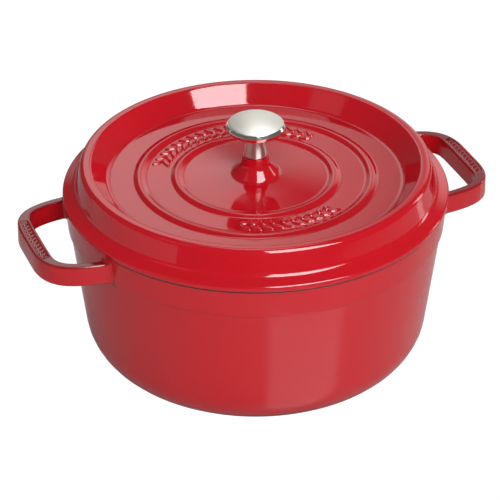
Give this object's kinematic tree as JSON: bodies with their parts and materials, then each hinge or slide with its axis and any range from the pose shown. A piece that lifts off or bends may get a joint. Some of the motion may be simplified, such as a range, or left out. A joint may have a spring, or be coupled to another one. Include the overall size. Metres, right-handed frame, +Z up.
{
  "type": "dutch oven",
  "caption": "Round enamelled cast iron cooking pot with loop side handles and a lift-off lid with a recessed top, basting points underneath and a turned metal knob.",
  "frame": {"origin": "middle of the pot's flat base, on the surface it stands on", "axes": "+Z up along the pot's axis, +X along the line through the two handles, +Y across them"},
  "size_m": [0.3098, 0.249, 0.168],
  "materials": {
    "pot_enamel": "cherry red glossy vitreous enamel outside, matte black enamel inside, on the rim and under the base",
    "lid_enamel": "cherry red very glossy vitreous enamel on top, matte black enamel underneath",
    "knob_nickel": "turned and polished nickel plate with a satin crown",
    "fixing_steel": "plain stainless steel, lightly machined"
  },
  "bodies": {
    "pot": {"pot_body": "pot_enamel"},
    "lid": {"lid": "lid_enamel", "lid_knob": "knob_nickel", "knob_screw": "fixing_steel", "lock_washer": "fixing_steel"}
  },
  "joints": [
    {"name": "lid_lift", "type": "slide", "parent": "pot", "child": "lid", "axis": [0, 0, 1], "range_m": [0, 0.14]}
  ]
}
